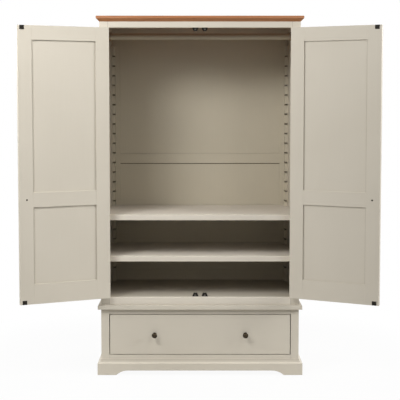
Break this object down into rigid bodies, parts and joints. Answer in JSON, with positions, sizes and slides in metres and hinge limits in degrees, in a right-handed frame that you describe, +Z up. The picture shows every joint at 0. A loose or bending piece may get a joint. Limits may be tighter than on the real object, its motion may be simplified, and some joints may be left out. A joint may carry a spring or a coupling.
{
  "type": "wardrobe",
  "caption": "Painted wardrobe with an oak top: panelled doors on butt hinges, a hanging rail over adjustable shelves, and a long drawer above a coved plinth with bracket feet.",
  "frame": {"origin": "on the floor at the middle of the back", "axes": "+Z up, +Y towards the wall behind, +X to the right as seen from the front"},
  "size_m": [1.8888, 0.7972, 1.95],
  "materials": {
    "paint": "satin paint",
    "oak": "waxed",
    "bare_wood": "bare",
    "bronze": "dark patina",
    "old_brass": "aged",
    "black_metal": "black",
    "catch_plastic": "matte",
    "magnet_steel": "bright"
  },
  "bodies": {
    "carcass": {"left_side_panel": "paint", "right_side_panel": "paint", "left_front_stile": "paint", "right_front_stile": "paint", "front_top_rail": "paint", "front_bottom_rail": "paint", "cabinet_floor": "paint", "back_stiles": "paint", "back_rails": "paint", "back_upper_panel": "paint", "back_lower_panel": "paint", "notched_battens": "paint", "shelf_bars": "paint", "upper_shelf": "paint", "lower_shelf": "paint", "shelf_lippings": "paint", "hanging_rail": "paint", "base_top_board": "paint", "waist_moulding": "paint", "base_sides": "paint", "base_stiles": "paint", "base_top_rail": "paint", "base_bottom_rail": "paint", "plinth_front": "paint", "plinth_ends": "paint", "plinth_cove": "paint", "oak_top": "oak", "base_back_panel": "bare_wood", "plinth_back": "bare_wood", "corner_blocks": "bare_wood", "drawer_runners": "bare_wood", "drawer_kickers": "bare_wood", "rail_sockets": "old_brass", "hinge_frame_leaves": "old_brass", "catch_housings": "catch_plastic", "catch_magnets": "magnet_steel"},
    "left_door": {"left_door_hinge_stile": "paint", "left_door_meeting_stile": "paint", "left_door_rails": "paint", "left_door_panels": "paint", "left_door_knob": "bronze", "left_door_hinge_leaves": "old_brass", "left_door_strike_plates": "black_metal"},
    "right_door": {"right_door_hinge_stile": "paint", "right_door_meeting_stile": "paint", "right_door_rails": "paint", "right_door_panels": "paint", "right_door_knob": "bronze", "right_door_hinge_leaves": "old_brass", "right_door_strike_plates": "black_metal"},
    "drawer": {"drawer_front": "paint", "drawer_sides": "bare_wood", "drawer_back": "bare_wood", "drawer_bottom": "bare_wood", "drawer_knobs": "bronze"}
  },
  "joints": [
    {"name": "left_door_hinge", "type": "hinge", "parent": "carcass", "child": "left_door", "pos_m": [-0.49525, -0.5645, 1.157], "axis": [0, 0, -1], "range_deg": [-157, 18]},
    {"name": "right_door_hinge", "type": "hinge", "parent": "carcass", "child": "right_door", "pos_m": [0.49525, -0.5645, 1.157], "axis": [0, 0, 1], "range_deg": [-155, 20]},
    {"name": "drawer_slide", "type": "slide", "parent": "carcass", "child": "drawer", "axis": [0, -1, 0], "range_m": [0, 0.4]}
  ]
}
